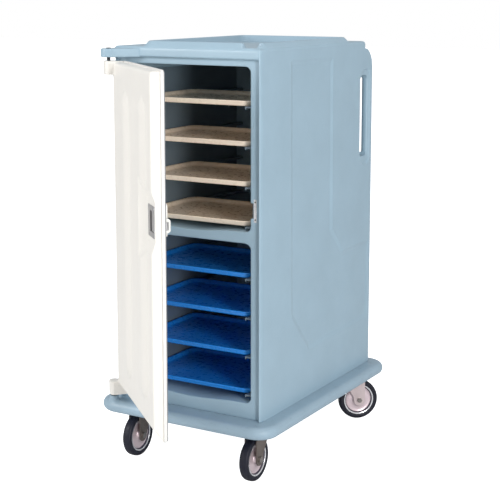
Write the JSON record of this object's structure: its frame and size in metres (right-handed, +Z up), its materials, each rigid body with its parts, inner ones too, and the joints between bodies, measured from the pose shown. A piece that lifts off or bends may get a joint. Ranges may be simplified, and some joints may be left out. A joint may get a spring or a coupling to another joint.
{
  "type": "enclosed meal tray cart",
  "caption": "Insulated two-compartment meal tray cart with a moulded side-hinged door, tray runners, rear grips, top gallery, bumper base and swivel casters.",
  "frame": {"origin": "on the floor, under the middle of the whole cart's box with its door standing open 42 degrees", "axes": "+Z up, -Y out of the door opening, +X towards the side opposite the door hinge"},
  "size_m": [0.696, 1.2932, 1.466],
  "materials": {
    "cabinet_plastic": "satin",
    "base_plastic": "satin",
    "door_plastic": "satin",
    "insulating_foam": "matte",
    "runner_plastic": "satin",
    "fastener_steel": "satin",
    "strike_steel": "polished",
    "hinge_black": "satin",
    "bush_nylon": "satin",
    "seal_rubber": "matte",
    "latch_metal": "satin",
    "housing_plastic": "satin",
    "tray_cream": "satin",
    "tray_blue": "satin",
    "caster_zinc": "satin",
    "hub_alloy": "satin",
    "tyre_black": "matte"
  },
  "bodies": {
    "cart": {"cabinet_shell": "cabinet_plastic", "cabinet_foam": "insulating_foam", "base_bumper": "base_plastic", "divider_shell": "cabinet_plastic", "divider_foam": "insulating_foam", "rack_upper_left": "runner_plastic", "rack_upper_right": "runner_plastic", "rack_lower_left": "runner_plastic", "rack_lower_right": "runner_plastic", "rack_screws": "fastener_steel", "strike_plate": "strike_steel", "strike_screws": "strike_steel", "hinge_pin_top": "hinge_black", "hinge_pin_bottom": "hinge_black", "hinge_washer": "hinge_black", "base_bolts": "fastener_steel", "caster_plates": "caster_zinc", "caster_bolts": "fastener_steel", "caster_kingpins": "fastener_steel"},
    "door": {"door_outer_shell": "door_plastic", "door_foam": "insulating_foam", "door_inner_panel": "door_plastic", "door_seal": "seal_rubber", "door_screws": "fastener_steel", "hinge_bushes": "bush_nylon", "latch_plate": "latch_metal", "latch_pin": "latch_metal", "latch_spring": "latch_metal", "latch_housing": "housing_plastic", "latch_screws": "fastener_steel"},
    "latch_paddle": {"latch_paddle": "latch_metal"},
    "latch_bolt": {"latch_bolt": "latch_metal"},
    "tray_upper_1": {"tray_upper_1": "tray_cream"},
    "tray_upper_2": {"tray_upper_2": "tray_cream"},
    "tray_upper_3": {"tray_upper_3": "tray_cream"},
    "tray_upper_4": {"tray_upper_4": "tray_cream"},
    "tray_lower_1": {"tray_lower_1": "tray_blue"},
    "tray_lower_2": {"tray_lower_2": "tray_blue"},
    "tray_lower_3": {"tray_lower_3": "tray_blue"},
    "tray_lower_4": {"tray_lower_4": "tray_blue"},
    "fork_front_right": {"fork_front_right": "caster_zinc", "axle_front_right": "fastener_steel"},
    "wheel_front_right": {"hub_front_right": "hub_alloy", "tyre_front_right": "tyre_black"},
    "fork_front_left": {"fork_front_left": "caster_zinc", "axle_front_left": "fastener_steel"},
    "wheel_front_left": {"hub_front_left": "hub_alloy", "tyre_front_left": "tyre_black"},
    "fork_rear_right": {"fork_rear_right": "caster_zinc", "axle_rear_right": "fastener_steel"},
    "wheel_rear_right": {"hub_rear_right": "hub_alloy", "tyre_rear_right": "tyre_black"},
    "fork_rear_left": {"fork_rear_left": "caster_zinc", "axle_rear_left": "fastener_steel"},
    "wheel_rear_left": {"hub_rear_left": "hub_alloy", "tyre_rear_left": "tyre_black"}
  },
  "joints": [
    {"name": "door_hinge", "type": "hinge", "parent": "cart", "child": "door", "pos_m": [-0.279, -0.28939, 0.822], "axis": [0, 0, -1], "range_deg": [-42, 223]},
    {"name": "latch_pull", "type": "hinge", "parent": "door", "child": "latch_paddle", "pos_m": [0.13665, -0.62731, 0.938], "axis": [0, 0, 1], "range_deg": [0, 25]},
    {"name": "bolt_slide", "type": "slide", "parent": "door", "child": "latch_bolt", "axis": [-0.7431, 0.6691, 0], "range_m": [0, 0.00885], "stiffness_N_per_m": 60, "springref_m": -0.02},
    {"name": "tray_upper_1_slide", "type": "slide", "parent": "cart", "child": "tray_upper_1", "axis": [0, 1, 0], "range_m": [0, 0.33]},
    {"name": "tray_upper_2_slide", "type": "slide", "parent": "cart", "child": "tray_upper_2", "axis": [0, 1, 0], "range_m": [0, 0.33]},
    {"name": "tray_upper_3_slide", "type": "slide", "parent": "cart", "child": "tray_upper_3", "axis": [0, 1, 0], "range_m": [0, 0.33]},
    {"name": "tray_upper_4_slide", "type": "slide", "parent": "cart", "child": "tray_upper_4", "axis": [0, 1, 0], "range_m": [0, 0.33]},
    {"name": "tray_lower_1_slide", "type": "slide", "parent": "cart", "child": "tray_lower_1", "axis": [0, 1, 0], "range_m": [0, 0.33]},
    {"name": "tray_lower_2_slide", "type": "slide", "parent": "cart", "child": "tray_lower_2", "axis": [0, 1, 0], "range_m": [0, 0.33]},
    {"name": "tray_lower_3_slide", "type": "slide", "parent": "cart", "child": "tray_lower_3", "axis": [0, 1, 0], "range_m": [0, 0.33]},
    {"name": "tray_lower_4_slide", "type": "slide", "parent": "cart", "child": "tray_lower_4", "axis": [0, 1, 0], "range_m": [0, 0.33]},
    {"name": "front_right_swivel", "type": "hinge", "parent": "cart", "child": "fork_front_right", "pos_m": [0.238, -0.17239, 0.16], "axis": [0, 0, 1], "continuous": true},
    {"name": "front_right_wheel", "type": "hinge", "parent": "fork_front_right", "child": "wheel_front_right", "pos_m": [0.238, -0.20839, 0.076], "axis": [1, 0, 0], "continuous": true},
    {"name": "front_left_swivel", "type": "hinge", "parent": "cart", "child": "fork_front_left", "pos_m": [-0.238, -0.17239, 0.16], "axis": [0, 0, 1], "continuous": true},
    {"name": "front_left_wheel", "type": "hinge", "parent": "fork_front_left", "child": "wheel_front_left", "pos_m": [-0.23737, -0.20838, 0.076], "axis": [0.9998, 0.0175, 0], "continuous": true},
    {"name": "rear_right_swivel", "type": "hinge", "parent": "cart", "child": "fork_rear_right", "pos_m": [0.238, 0.51961, 0.16], "axis": [0, 0, 1], "continuous": true},
    {"name": "rear_right_wheel", "type": "hinge", "parent": "fork_rear_right", "child": "wheel_rear_right", "pos_m": [0.26433, 0.54416, 0.076], "axis": [-0.682, 0.7314, 0], "continuous": true},
    {"name": "rear_left_swivel", "type": "hinge", "parent": "cart", "child": "fork_rear_left", "pos_m": [-0.238, 0.51961, 0.16], "axis": [0, 0, 1], "continuous": true},
    {"name": "rear_left_wheel", "type": "hinge", "parent": "fork_rear_left", "child": "wheel_rear_left", "pos_m": [-0.20417, 0.53192, 0.076], "axis": [-0.342, 0.9397, 0], "continuous": true}
  ],
  "couplings": [
    {"joint": "latch_pull", "follows": "bolt_slide", "rad_per_m": 49.164}
  ]
}
